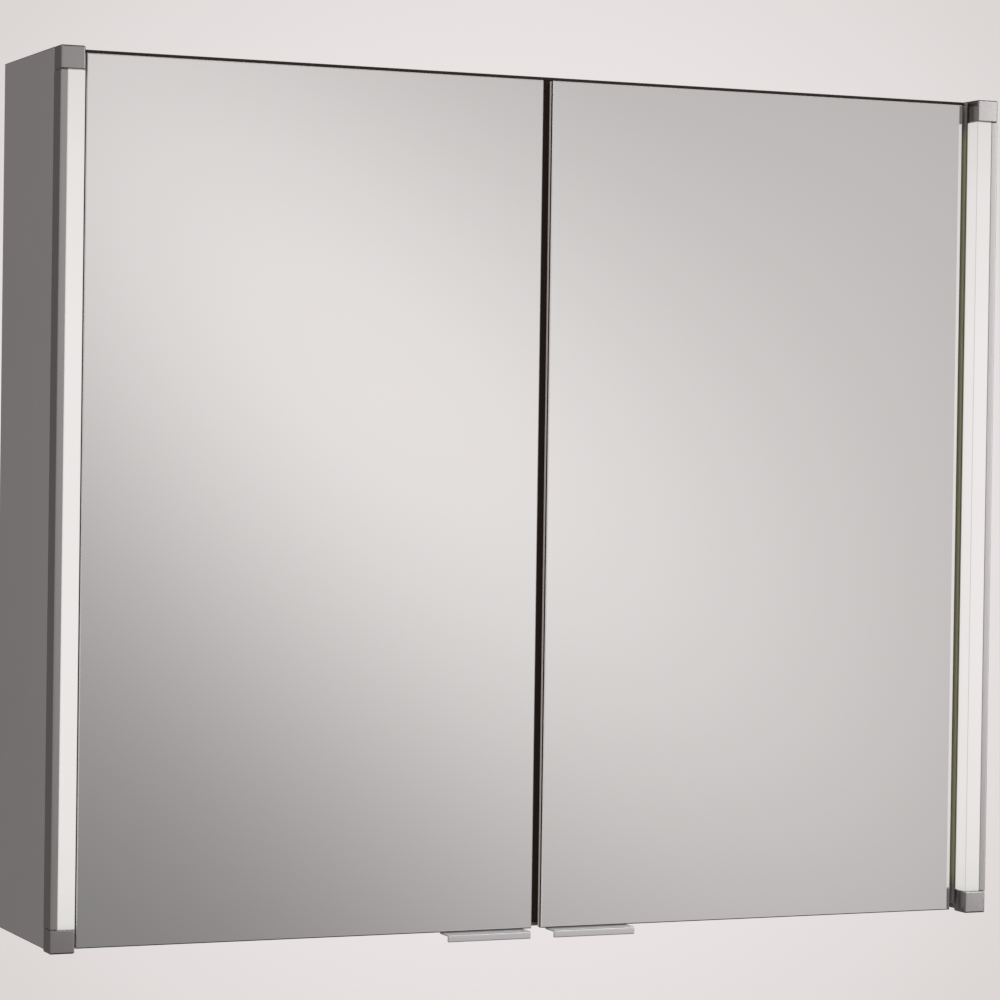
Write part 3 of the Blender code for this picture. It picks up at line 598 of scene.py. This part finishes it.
# %% [markdown]
# Four helpers make pieces. The first adds a block between two corners. The second rounds a
# piece's edges with a Bevel modifier, because no real edge is perfectly sharp and the small
# highlights along edges are what make metal look solid. The third takes a copy of a solid,
# merges its loose triangles and rounds it. The last one gives a piece its finish, its body and
# the solid that it stands for, and makes its shading even: a Weighted Normal modifier lets each
# large flat face keep its own direction right up to its edge, so that only the roundings turn
# the light.

# %% Helpers for pieces
def add_block(name, low, high):
    low, high = Vector(low), Vector(high)
    select_nothing()
    size = [abs(high[k] - low[k]) for k in range(3)]
    bpy.ops.mesh.primitive_cube_add(size=1.0, location=(low + high) / 2, scale=size)
    piece = bpy.context.object
    piece.name = name
    bpy.ops.object.transform_apply(location=True, rotation=True, scale=True)
    return piece


def round_all(piece, width, segments=2, angle=40.0):
    make_active(piece)
    modifier = piece.modifiers.new("Rounding", "BEVEL")
    modifier.width = width
    modifier.segments = segments
    modifier.limit_method = "ANGLE"
    modifier.angle_limit = math.radians(angle)
    bpy.ops.object.modifier_apply(modifier=modifier.name)


def rounded_copy(node, name, width, segments=2):
    piece = bpy.data.objects.new(name, NODES[node].data.copy())
    scene.collection.objects.link(piece)
    make_active(piece)
    bpy.ops.object.mode_set(mode="EDIT")
    bpy.ops.mesh.select_all(action="SELECT")
    bpy.ops.mesh.remove_doubles(threshold=0.01 * MM)
    bpy.ops.mesh.customdata_custom_splitnormals_clear()
    bpy.ops.mesh.dissolve_limited(angle_limit=math.radians(1.0))
    close_edit()
    round_all(piece, width, segments)
    return piece


def complete(piece, finishes, body, slot, stands_for=None, choose=None):
    """finishes is a material or a list, and choose(face) gives a face's number in the list."""
    piece.data.materials.clear()
    for finish in (finishes if isinstance(finishes, list) else [finishes]):
        piece.data.materials.append(finish)
    for face in piece.data.polygons:
        face.material_index = choose(face) if choose else 0
    make_active(piece)
    bpy.ops.object.shade_smooth_by_angle(angle=math.radians(32.0))
    even = piece.modifiers.new("Even", "WEIGHTED_NORMAL")
    even.weight = 100
    even.keep_sharp = True
    bpy.ops.object.modifier_apply(modifier=even.name)
    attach(piece, body)
    if stands_for is not None:
        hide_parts(stands_for)
    select_nothing()
    return piece

# %% [markdown]
# A lamp profile is one drawn bar: an outer wall, a narrow lip in front and a rear wall. It
# starts as the outer wall alone. Two cuts mark off the strips at its front and rear, and those
# strips are pulled inwards to become the lip and the rear wall. The solid gives every size.

# %% Lamp profiles
LIP_THICKNESS = 1.6 * MM
LIP_WIDTH = 5.8 * MM
PROFILE_ROUNDING = 0.45 * MM
for side, sign in SIDES.items():
    low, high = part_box(f"lamp_profile_{side}")
    outer = sign * max(abs(low.x), abs(high.x))
    inner = sign * min(abs(low.x), abs(high.x))
    lip_end = outer - sign * LIP_WIDTH
    wall_end = outer - sign * LIP_THICKNESS
    bar = add_block(f"profile_{side}", (outer, low.y, low.z), (wall_end, high.y, high.z))
    for cut in (low.y + LIP_THICKNESS, high.y - LIP_THICKNESS):
        pick(bar, "FACE", lambda face: True)
        bpy.ops.mesh.bisect(plane_co=(0.0, cut, 0.0), plane_no=(0.0, 1.0, 0.0))
    inwards = (-sign, 0.0, 0.0)
    for middle_y, reach in ((low.y + LIP_THICKNESS / 2, wall_end - lip_end),
                            (high.y - LIP_THICKNESS / 2, wall_end - inner)):
        pick(bar, "FACE", lambda face: face.normal.dot(Vector(inwards)) > 0.99
             and abs(face.calc_center_median().y - middle_y) < 0.1 * MM)
        bpy.ops.mesh.extrude_region_move(TRANSFORM_OT_translate={"value": (-reach, 0.0, 0.0)})
    close_edit()
    round_all(bar, PROFILE_ROUNDING, 3)
    complete(bar, DRAWN_METAL, "cabinet", "lamp_aluminium", f"lamp_profile_{side}")
    print(bar.name, len(bar.data.polygons), "faces")

# %% [markdown]
# The diffuser is an L of opal plastic: a front strip with one wall running back at its inner
# edge. It starts as the front strip, and the rear face of a narrow band at its inner edge is
# pulled back. The corner that shows is cut at a slope, and the slope glows less than the faces.

# %% Diffusers
OPAL_THICKNESS = 2.0 * MM
OPAL_SLOPE = 0.5 * MM
for side, sign in SIDES.items():
    low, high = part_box(f"diffuser_{side}")
    outer = sign * max(abs(low.x), abs(high.x))
    inner = sign * min(abs(low.x), abs(high.x))
    strip = add_block(f"opal_{side}", (outer, low.y, low.z),
                      (inner, low.y + OPAL_THICKNESS, high.z))
    cut = inner + sign * OPAL_THICKNESS
    pick(strip, "FACE", lambda face: True)
    bpy.ops.mesh.bisect(plane_co=(cut, 0.0, 0.0), plane_no=(1.0, 0.0, 0.0))
    pick(strip, "FACE", lambda face: face.normal.y > 0.99
         and abs(face.calc_center_median().x - (inner + cut) / 2) < 0.1 * MM)
    bpy.ops.mesh.extrude_region_move(
        TRANSFORM_OT_translate={"value": (0.0, high.y - low.y - OPAL_THICKNESS, 0.0)})
    pick(strip, "EDGE", lambda edge: all(abs(v.co.x - inner) < 1e-5 and abs(v.co.y - low.y) < 1e-5
                                         for v in edge.verts))
    bpy.ops.mesh.bevel(offset=OPAL_SLOPE, segments=1, affect="EDGES")
    close_edit()
    round_all(strip, 0.12 * MM, 1, 60.0)
    complete(strip, [OPAL, OPAL_CORNER], "cabinet", "opal_diffuser", f"diffuser_{side}",
             lambda face: int(abs(face.normal.x) > 0.3 and face.normal.y < -0.3))
    print(strip.name, len(strip.data.polygons), "faces")

# %% [markdown]
# A screw head is modelled once and copied to wherever the cabinet has a screw. It is a flat
# round head: the disc's front face is inset, pushed in for the rim's slope, and a cross of two
# bars is cut out of it. Its diameter is 1, so a copy is scaled to its own. It looks along -Y at
# the origin, and a copy is turned and moved in its mesh. Each screw stops at its own angle, as
# real ones do.

# %% Screw head
select_nothing()
bpy.ops.mesh.primitive_cylinder_add(vertices=24, radius=0.5, depth=0.3, location=(0.0, 0.15, 0.0),
                                    rotation=(math.pi / 2, 0.0, 0.0))
SCREW = bpy.context.object
SCREW.name = "screw_pattern"
bpy.ops.object.transform_apply(location=True, rotation=True, scale=True)
pick(SCREW, "FACE", faces_towards((0.0, -1.0, 0.0)))
bpy.ops.mesh.inset(thickness=0.06, depth=0.05)
close_edit()
CROSS_LENGTH, CROSS_WIDTH, CROSS_DEPTH = 0.62, 0.13, 0.4
for name, size in (("bar_a", (CROSS_LENGTH, CROSS_DEPTH, CROSS_WIDTH)),
                   ("bar_b", (CROSS_WIDTH, CROSS_DEPTH, CROSS_LENGTH))):
    bar = add_block(name, [-s / 2 for s in size], [s / 2 for s in size])
    make_active(SCREW)
    cut = SCREW.modifiers.new(name, "BOOLEAN")
    cut.operation = "DIFFERENCE"
    cut.solver = "EXACT"
    cut.object = bar
    bpy.ops.object.modifier_apply(modifier=cut.name)
    bpy.data.objects.remove(bar)
print("screw head", len(SCREW.data.polygons), "faces")
SCREWS = []
SCREW_TURN = 0.4


def add_screw(place, direction, diameter, finish=BRIGHT_STEEL, thickness=0.3):
    """A screw whose head faces the direction, with its rim's front at the place."""
    number = len(SCREWS) + 1
    piece = bpy.data.objects.new(f"screw_{number:02d}", SCREW.data.copy())
    scene.collection.objects.link(piece)
    facing = Vector((0.0, -1.0, 0.0)).rotation_difference(Vector(direction)).to_matrix().to_4x4()
    spin = Matrix.Rotation(SCREW_TURN * number, 4, "Y")
    size = Matrix.Diagonal((diameter, diameter * thickness, diameter, 1.0))
    piece.data.transform(Matrix.Translation(Vector(place)) @ facing @ spin @ size)
    SCREWS.append(complete(piece, finish, "cabinet", "bracket_steel"))

# %% [markdown]
# An end cap closes each end of a lamp. It is a small block with gently rounded edges, and the
# rounding towards its end face gets a near-black finish as painted shade. The end face is inset
# and lowered a little, and a screw holds the cap there.

# %% End caps
CAP_ROUNDING = 1.3 * MM
CAP_RIM = 1.3 * MM
CAP_SLOPE, CAP_SINK = 0.3 * MM, 0.6 * MM
CAP_SCREW, CAP_SCREW_LOW = 7.0 * MM, 0.25 * MM
for side in SIDES:
    for end, up in (("bottom", -1), ("top", 1)):
        node = f"lamp_cap_{side}_{end}"
        low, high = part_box(node)
        cap = add_block(f"cap_{side}_{end}", low, high)
        round_all(cap, CAP_ROUNDING, 4)
        level = high.z if up > 0 else -low.z
        pick(cap, "FACE", faces_towards((0.0, 0.0, up), level))
        bpy.ops.mesh.inset(thickness=CAP_RIM, depth=0.0)
        bpy.ops.mesh.inset(thickness=CAP_SLOPE, depth=-CAP_SINK)
        close_edit()
        # roundings that face up or down take the painted edge shade
        complete(cap, [CAST_METAL, PAINTED_EDGE_SHADE], "cabinet", "lamp_aluminium", node,
                 lambda face: int(0.30 < face.normal.z * up < 0.99))
        end_z = (high.z if up > 0 else low.z) - up * CAP_SCREW_LOW
        add_screw(((low.x + high.x) / 2, (low.y + high.y) / 2, end_z), (0.0, 0.0, up), CAP_SCREW)
print("caps with", len(SCREWS), "screws")

# %% [markdown]
# Each door is two mirrors back to back. The outer one is a sheet of glass with a narrow ground
# slope round its face: the four edges of the front are bevelled once, with one segment. Faces
# then take their finish from the way they look: silver in front, paint behind, glass edges. The
# slope at the foot looks down, where no light comes from, so it gets the dark edge finish as
# painted shade.

# %% Door mirrors
SLOPE_WIDTH = 0.75 * MM
GLASS_FINISHES = [SILVER, GLASS_SLOPE, GLASS_EDGE, MIRROR_PAINT]


def glass_finish(facing):
    """Chooses from the glass finishes for a mirror that looks along -Y or +Y."""
    def choose(face):
        out = face.normal.y * facing
        if out > 0.99:
            return 0
        if out < -0.99:
            return 3
        # a slope that looks down takes the dark edge finish: painted shade
        return 1 if out > 0.3 and face.normal.z > -0.3 else 2
    return choose


for side in SIDES:
    node = f"door_mirror_{side}"
    low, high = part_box(node)
    glass = add_block(f"front_glass_{side}", low, high)
    pick(glass, "EDGE", lambda edge: all(abs(v.co.y - low.y) < 1e-5 for v in edge.verts))
    bpy.ops.mesh.bevel(offset=SLOPE_WIDTH, segments=1, affect="EDGES")
    close_edit()
    complete(glass, GLASS_FINISHES, f"{side}_door", "mirror_glass", node, glass_finish(-1))
    print(glass.name, [round(v / MM, 1) for v in high - low], "mm")

# %% [markdown]
# The inner mirror looks into the cabinet when the door is shut. Its notch for the handle is
# already in the solid, so a merged copy of the solid is used, with a slope of its own.

# %% Inner mirrors
for side in SIDES:
    node = f"door_inner_mirror_{side}"
    glass = rounded_copy(node, f"rear_glass_{side}", 0.4 * MM, 1)
    complete(glass, [SILVER, GLASS_SLOPE, REAR_EDGE_WITH_PAINTED_GLOW, MIRROR_PAINT], f"{side}_door",
             "mirror_glass", node, glass_finish(1))
    print(glass.name, len(glass.data.polygons), "faces")

# %% [markdown]
# A handle is folded from one strip: a flange glued behind the front glass, a flat tab under the
# door, and a lip turned down in front. The tab is a block, cut near both ends. The band at the
# rear is pulled up, the one in front is pulled down, and the fold in front gets a full radius.

# %% Handles
HANDLE_WALL = 1.6 * MM
HANDLE_GAP = 0.3 * MM
FOLD_RADIUS = 1.25 * MM
HANDLE_ROUNDING = 0.70 * MM
for side in SIDES:
    node = f"handle_{side}"
    low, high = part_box(node)
    glass_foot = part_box(f"door_mirror_{side}")[0].z
    tab_top = glass_foot - HANDLE_GAP
    tab_foot = tab_top - HANDLE_WALL
    tab = add_block(f"pull_{side}", (low.x, low.y, tab_foot), (high.x, high.y, tab_top))
    for cut in (low.y + HANDLE_WALL, high.y - HANDLE_WALL):
        pick(tab, "FACE", lambda face: True)
        bpy.ops.mesh.bisect(plane_co=(0.0, cut, 0.0), plane_no=(0.0, 1.0, 0.0))
    for middle_y, look, reach in ((low.y + HANDLE_WALL / 2, -1, low.z - tab_foot),
                                  (high.y - HANDLE_WALL / 2, 1, high.z - tab_top)):
        pick(tab, "FACE", lambda face: face.normal.z * look > 0.99
             and abs(face.calc_center_median().y - middle_y) < 0.1 * MM)
        bpy.ops.mesh.extrude_region_move(TRANSFORM_OT_translate={"value": (0.0, 0.0, reach)})
    pick(tab, "EDGE", lambda edge: all(abs(v.co.y - low.y) < 1e-5 and abs(v.co.z - tab_top) < 1e-5
                                       for v in edge.verts))
    bpy.ops.mesh.bevel(offset=FOLD_RADIUS, segments=5, affect="EDGES")
    close_edit()
    round_all(tab, HANDLE_ROUNDING, 3)
    complete(tab, HANDLE_METAL, f"{side}_door", "handle_aluminium", node)
    print(tab.name, [round(v / MM, 1) for v in high - low], "mm")

# %% [markdown]
# The carcass is folded sheet. Copies of the solids with softened edges are enough here, because
# their shape is right. The outer skins are dark, everything inside is pale. A skin's rounded
# upper and lower edges carry painted shade, and near the front its inward faces lie beside the
# lamp and carry the lamp's painted glow.

# %% Carcass
BESIDE_LAMP = -130.0 * MM
SKIN_ROUNDING = 0.70 * MM


def skin_finish(sign):
    """Chooses from the side sheet, the metal with the lamp's painted glow and the painted edge
    shade.
    """
    def choose(face):
        if 0.3 < abs(face.normal.z) < 0.99:
            return 2
        return int(face.normal.x * sign < -0.3 and face.center.y < BESIDE_LAMP)
    return choose


for side, sign in SIDES.items():
    skin = rounded_copy(f"side_channel_{side}", f"skin_{side}", SKIN_ROUNDING, 2)
    complete(skin, [SIDE_SHEET, LIT_EDGE, PAINTED_EDGE_SHADE], "cabinet", "side_aluminium",
             f"side_channel_{side}", skin_finish(sign))
    liner = rounded_copy(f"side_liner_{side}", f"liner_{side}", 0.3 * MM, 1)
    complete(liner, LIT_LINER, "cabinet", "interior_aluminium", f"side_liner_{side}")
for node, name in (("top_panel", "top"), ("bottom_panel", "bottom")):
    panel = rounded_copy(node, name, 0.4 * MM, 2)
    complete(panel, SIDE_SHEET, "cabinet", "interior_aluminium", node)
wall = rounded_copy("partition", "middle_wall", 0.6 * MM, 2)
complete(wall, INNER_METAL, "cabinet", "interior_aluminium", "partition")
back = rounded_copy("back_panel", "back", 0.3 * MM, 1)
complete(back, BACK_SHEET, "cabinet", "back_sheet", "back_panel")
print("carcass done, its back has", len(back.data.polygons), "faces")

# %% [markdown]
# Screws hold the back along its four edges: five in the upper and the lower row, and two more
# up each side. Their places are counted from the back's own box, so they keep to its rim.

# %% Screws of the back
back_low, back_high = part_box("back_panel")
EDGE_INSET = 9.0 * MM
HEAD_STANDS = 0.35 * MM
BACK_SCREW = 6.5 * MM
SIDE_ROW = 0.11
for k in range(5):
    x = back_low.x + EDGE_INSET + k * (back_high.x - back_low.x - 2 * EDGE_INSET) / 4
    for z in (back_low.z + EDGE_INSET, back_high.z - EDGE_INSET):
        add_screw((x, back_high.y + HEAD_STANDS, z), (0.0, 1.0, 0.0), BACK_SCREW, thickness=0.2)
for sign in (-1, 1):
    for z in (-SIDE_ROW, SIDE_ROW):
        add_screw((sign * (back_high.x - EDGE_INSET), back_high.y + HEAD_STANDS, z),
                  (0.0, 1.0, 0.0), BACK_SCREW, thickness=0.2)
print("screws so far", len(SCREWS))

# %% [markdown]
# Hinges: the leaf is glued to the door, the arm is screwed to the side wall and goes round the
# path of the door's edge, and the pin passes through both. Their edges are rounded, and two
# countersunk screws hold each arm.

# %% Hinges
ARM_PLATE = 2.4 * MM
ARM_REACH = 45.0 * MM
ARM_SCREW, ARM_SCREW_STANDS = 6.0 * MM, 0.3 * MM
for side, sign in SIDES.items():
    for level in ("lower", "upper"):
        leaf_node, arm_node = f"hinge_leaf_{side}_{level}", f"hinge_arm_{side}_{level}"
        pin_node = f"hinge_pin_{side}_{level}"
        leaf = rounded_copy(leaf_node, f"leaf_{side}_{level}", 0.2 * MM, 2)
        complete(leaf, BRIGHT_STEEL, f"{side}_door", "hinge_nickel", leaf_node)
        arm = rounded_copy(arm_node, f"arm_{side}_{level}", 0.35 * MM, 2)
        complete(arm, BRIGHT_STEEL, "cabinet", "hinge_nickel", arm_node)
        pin = rounded_copy(pin_node, f"pin_{side}_{level}", 0.2 * MM, 2)
        complete(pin, ZINC_STEEL, "cabinet", "bracket_steel", pin_node)
        low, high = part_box(arm_node)
        plate_x = (high.x - ARM_PLATE) if sign > 0 else (low.x + ARM_PLATE)
        for share in (0.30, 0.80):
            y = high.y - ARM_REACH * (1.0 - share)
            add_screw((plate_x - sign * ARM_SCREW_STANDS, y, (low.z + high.z) / 2),
                      (-sign, 0.0, 0.0), ARM_SCREW, finish=ZINC_STEEL, thickness=0.2)
print("hinges done, screws so far", len(SCREWS))

# %% [markdown]
# Inside: glass shelves with polished edges on slim rails, mirrors on the back, and a bracket in
# each upper corner that hangs on a wall hook and has two screws for levelling.

# %% Shelves, back mirrors and brackets
BRACKET_SCREW, BRACKET_SCREW_STANDS = 8.0 * MM, 0.8 * MM
for side in SIDES:
    for number in (1, 2):
        node = f"shelf_{side}_{number}"
        complete(rounded_copy(node, f"shelf_glass_{side}_{number}", 0.7 * MM, 3), SHELF_GLASS,
                 "cabinet", "shelf_glass", node)
        for place in ("inner", "outer"):
            node = f"shelf_rail_{side}_{number}_{place}"
            complete(rounded_copy(node, f"rail_{side}_{number}_{place}", 0.8 * MM, 3), RAIL_METAL,
                     "cabinet", "interior_aluminium", node)
    node = f"back_mirror_{side}"
    glass = rounded_copy(node, f"back_glass_{side}", 0.4 * MM, 1)
    complete(glass, GLASS_FINISHES, "cabinet", "mirror_glass", node, glass_finish(-1))
    node = f"hanger_bracket_{side}"
    complete(rounded_copy(node, f"bracket_{side}", 0.8 * MM, 3), ZINC_STEEL, "cabinet",
             "bracket_steel", node)
    low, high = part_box(node)
    for share in (0.14, 0.86):
        add_screw((low.x + (high.x - low.x) * share, low.y - BRACKET_SCREW_STANDS,
                   (low.z + high.z) / 2), (0.0, -1.0, 0.0), BRACKET_SCREW)
print("screws so far", len(SCREWS))

# %% [markdown]
# The dust seals and the cable's grommet are plain rubber strips and a rubber ring, and the
# electrics are white moulded plastic. Moulded plastic has softer edges than metal, so the
# roundings are larger. The table gives each piece's solid, name, rounding, finish, body and
# slot, and one loop makes them all. Two screws hold the lid of the box.

# %% Seals and electrics
SMALL_PIECES = (
    ("top_seal", "top_dust_seal", 0.5, 2, RUBBER, "cabinet", "black_rubber"),
    ("centre_seal", "centre_dust_seal", 0.5, 2, RUBBER, "cabinet", "black_rubber"),
    ("cable_grommet", "grommet", 0.3, 2, RUBBER, "cabinet", "black_rubber"),
    ("service_box", "electrics_box", 0.8, 3, WHITE_PLASTIC, "cabinet", "white_plastic"),
    ("socket_insert", "socket", 0.5, 3, WHITE_PLASTIC, "cabinet", "white_plastic"),
    ("rocker_switch", "rocker", 0.6, 3, WHITE_PLASTIC, "switch", "white_plastic"),
    ("led_driver", "driver", 1.5, 3, WHITE_PLASTIC, "cabinet", "white_plastic"),
)
for node, name, rounding, segments, finish, body, slot in SMALL_PIECES:
    complete(rounded_copy(node, name, rounding * MM, segments), finish, body, slot, node)
box_low, box_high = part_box("service_box")
LID_SCREW_INSET = 6.0 * MM
LID_SCREW, LID_SCREW_STANDS = 5.0 * MM, 0.5 * MM
for x in (box_low.x + LID_SCREW_INSET, box_high.x - LID_SCREW_INSET):
    add_screw((x, box_low.y - LID_SCREW_STANDS, box_high.z - LID_SCREW_INSET),
              (0.0, -1.0, 0.0), LID_SCREW, finish=ZINC_STEEL, thickness=0.25)
print("screws in all", len(SCREWS))

# %% [markdown]
# A lamp's light comes from a narrow circuit board with a row of small yellow chips. One chip is
# a block whose face is inset and lowered for its rim, and an Array modifier repeats it up the
# board at an even distance.

# %% Lamp boards with their chips
CHIPS_PER_LAMP = 36
CHIP_HALF = 1.5 * MM
CHIP_HEIGHT = 0.8 * MM
for side in SIDES:
    node = f"led_strip_{side}"
    low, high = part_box(node)
    board = rounded_copy(node, f"lamp_board_{side}", 0.1 * MM, 1)
    complete(board, BOARD, "cabinet", "circuit_board", node)
    pitch = (high.z - low.z) / CHIPS_PER_LAMP
    x = (low.x + high.x) / 2
    z = low.z + pitch / 2
    row = add_block(f"chips_{side}", (x - CHIP_HALF, low.y - CHIP_HEIGHT, z - CHIP_HALF),
                    (x + CHIP_HALF, low.y, z + CHIP_HALF))
    pick(row, "FACE", faces_towards((0.0, -1.0, 0.0)))
    bpy.ops.mesh.inset(thickness=0.3 * MM, depth=-0.15 * MM)
    close_edit()
    repeat = row.modifiers.new("Repeat", "ARRAY")
    repeat.count = CHIPS_PER_LAMP
    repeat.use_relative_offset = False
    repeat.use_constant_offset = True
    repeat.constant_offset_displace = (0.0, 0.0, pitch)
    make_active(row)
    bpy.ops.object.modifier_apply(modifier=repeat.name)
    complete(row, CHIP, "cabinet", "circuit_board")
print("chips", 2 * CHIPS_PER_LAMP)

# %% [markdown]
# The pattern screw has done its work and is removed.

# %% Removing the pattern screw
bpy.data.objects.remove(SCREW)
